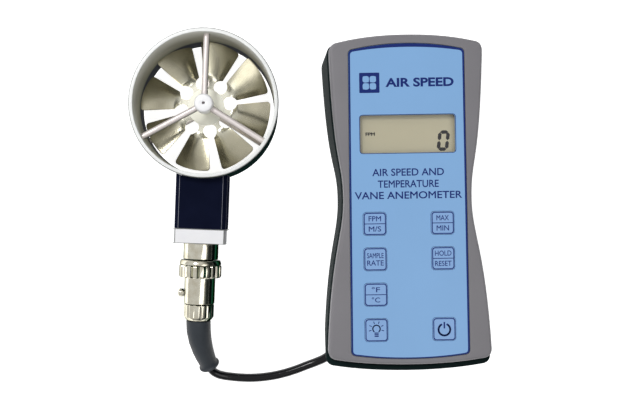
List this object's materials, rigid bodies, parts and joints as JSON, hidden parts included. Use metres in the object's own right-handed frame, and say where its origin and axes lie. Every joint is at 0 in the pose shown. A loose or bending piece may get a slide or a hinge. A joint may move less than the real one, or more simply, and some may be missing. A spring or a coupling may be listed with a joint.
{
  "type": "vane anemometer",
  "caption": "Handheld vane anemometer: waisted meter with keypad and display, cabled to a plug-in ducted vane probe lying beside it.",
  "frame": {"origin": "centre of the meter's flat back, on the table", "axes": "+X from the probe towards the meter, +Y up the meter from its keys to its display, +Z out of the display towards the user"},
  "size_m": [0.1674, 0.1721, 0.035],
  "materials": {
    "grey_case": "matte moulded grey",
    "dark_case": "matte green-black",
    "blue_membrane": "satin printed film",
    "clear_window": "clear",
    "display_glass": "grey-tan liquid crystal panel",
    "white_plastic": "translucent white",
    "board_green": "solder mask",
    "black_plastic": "moulded black",
    "navy_stem": "anodised blue-black",
    "aluminium": "satin",
    "brushed_band": "brushed silver",
    "nickel": "bright nickel plate",
    "steel": "plain steel",
    "jewel": "polished ruby",
    "boot_rubber": "matte black",
    "cable_jacket": "glossy black",
    "battery_can": "plain printed sleeve"
  },
  "bodies": {
    "meter": {"front_shell": "grey_case", "faceplate": "blue_membrane", "display_window": "clear_window", "display_frame": "black_plastic", "backlight_panel": "white_plastic", "display_panel": "display_glass", "dome_sheet": "steel", "circuit_board": "board_green", "main_chip": "black_plastic", "battery": "battery_can", "battery_snap": "black_plastic", "rear_shell": "dark_case", "cable_gland": "boot_rubber", "case_screw_1": "steel", "case_screw_2": "steel", "case_screw_3": "steel", "case_screw_4": "steel", "jack_body": "nickel", "bayonet_stud": "nickel", "back_nut": "nickel", "cable_boot": "boot_rubber", "cable": "cable_jacket"},
    "battery_cover": {"battery_door": "dark_case"},
    "velocity_units_button": {"key_velocity_units": "blue_membrane"},
    "sample_rate_button": {"key_sample_rate": "blue_membrane"},
    "temperature_units_button": {"key_temperature_units": "blue_membrane"},
    "backlight_button": {"key_backlight": "blue_membrane"},
    "max_min_button": {"key_max_min": "blue_membrane"},
    "hold_reset_button": {"key_hold_reset": "blue_membrane"},
    "power_button": {"key_power": "blue_membrane"},
    "probe_head": {"vane_ring": "aluminium", "front_hub": "aluminium", "front_bearing": "jewel", "front_strut_1": "aluminium", "front_strut_2": "aluminium", "front_strut_3": "aluminium", "rear_hub": "aluminium", "rear_bearing": "jewel", "rear_strut_1": "aluminium", "rear_strut_2": "aluminium", "rear_strut_3": "aluminium", "stem_housing": "navy_stem", "stem_band": "brushed_band", "sensor_board": "board_green", "pickup_sensor": "black_plastic", "temperature_sensor": "steel", "plug_body": "nickel", "plug_insulator": "black_plastic"},
    "coupling_nut": {"coupling_ring": "nickel"},
    "impeller": {"impeller_hub": "aluminium", "vane_shaft": "steel", "vane_blade_1": "aluminium", "vane_blade_2": "aluminium", "vane_blade_3": "aluminium", "vane_blade_4": "aluminium", "vane_blade_5": "aluminium", "vane_blade_6": "aluminium", "vane_blade_7": "aluminium", "vane_blade_8": "aluminium"}
  },
  "joints": [
    {"name": "impeller_spin", "type": "hinge", "parent": "probe_head", "child": "impeller", "pos_m": [-0.0939, 0.0464, 0.016], "axis": [0, 0, 1], "continuous": true},
    {"name": "probe_unplug", "type": "slide", "parent": "meter", "child": "probe_head", "axis": [0.0523, 0.9986, 0], "range_m": [0, 0.03]},
    {"name": "coupling_twist", "type": "hinge", "parent": "probe_head", "child": "coupling_nut", "pos_m": [-0.09809, -0.03349, 0.016], "axis": [0.0523, 0.9986, 0], "range_deg": [0, 50]},
    {"name": "battery_door_slide", "type": "slide", "parent": "meter", "child": "battery_cover", "axis": [0, -1, 0], "range_m": [0, 0.015]},
    {"name": "velocity_units_press", "type": "slide", "parent": "meter", "child": "velocity_units_button", "axis": [0, 0, -1], "range_m": [0, 0.0004], "stiffness_N_per_m": 600},
    {"name": "sample_rate_press", "type": "slide", "parent": "meter", "child": "sample_rate_button", "axis": [0, 0, -1], "range_m": [0, 0.0004], "stiffness_N_per_m": 600},
    {"name": "temperature_units_press", "type": "slide", "parent": "meter", "child": "temperature_units_button", "axis": [0, 0, -1], "range_m": [0, 0.0004], "stiffness_N_per_m": 600},
    {"name": "backlight_press", "type": "slide", "parent": "meter", "child": "backlight_button", "axis": [0, 0, -1], "range_m": [0, 0.0004], "stiffness_N_per_m": 600},
    {"name": "max_min_press", "type": "slide", "parent": "meter", "child": "max_min_button", "axis": [0, 0, -1], "range_m": [0, 0.0004], "stiffness_N_per_m": 600},
    {"name": "hold_reset_press", "type": "slide", "parent": "meter", "child": "hold_reset_button", "axis": [0, 0, -1], "range_m": [0, 0.0004], "stiffness_N_per_m": 600},
    {"name": "power_press", "type": "slide", "parent": "meter", "child": "power_button", "axis": [0, 0, -1], "range_m": [0, 0.0004], "stiffness_N_per_m": 600}
  ]
}
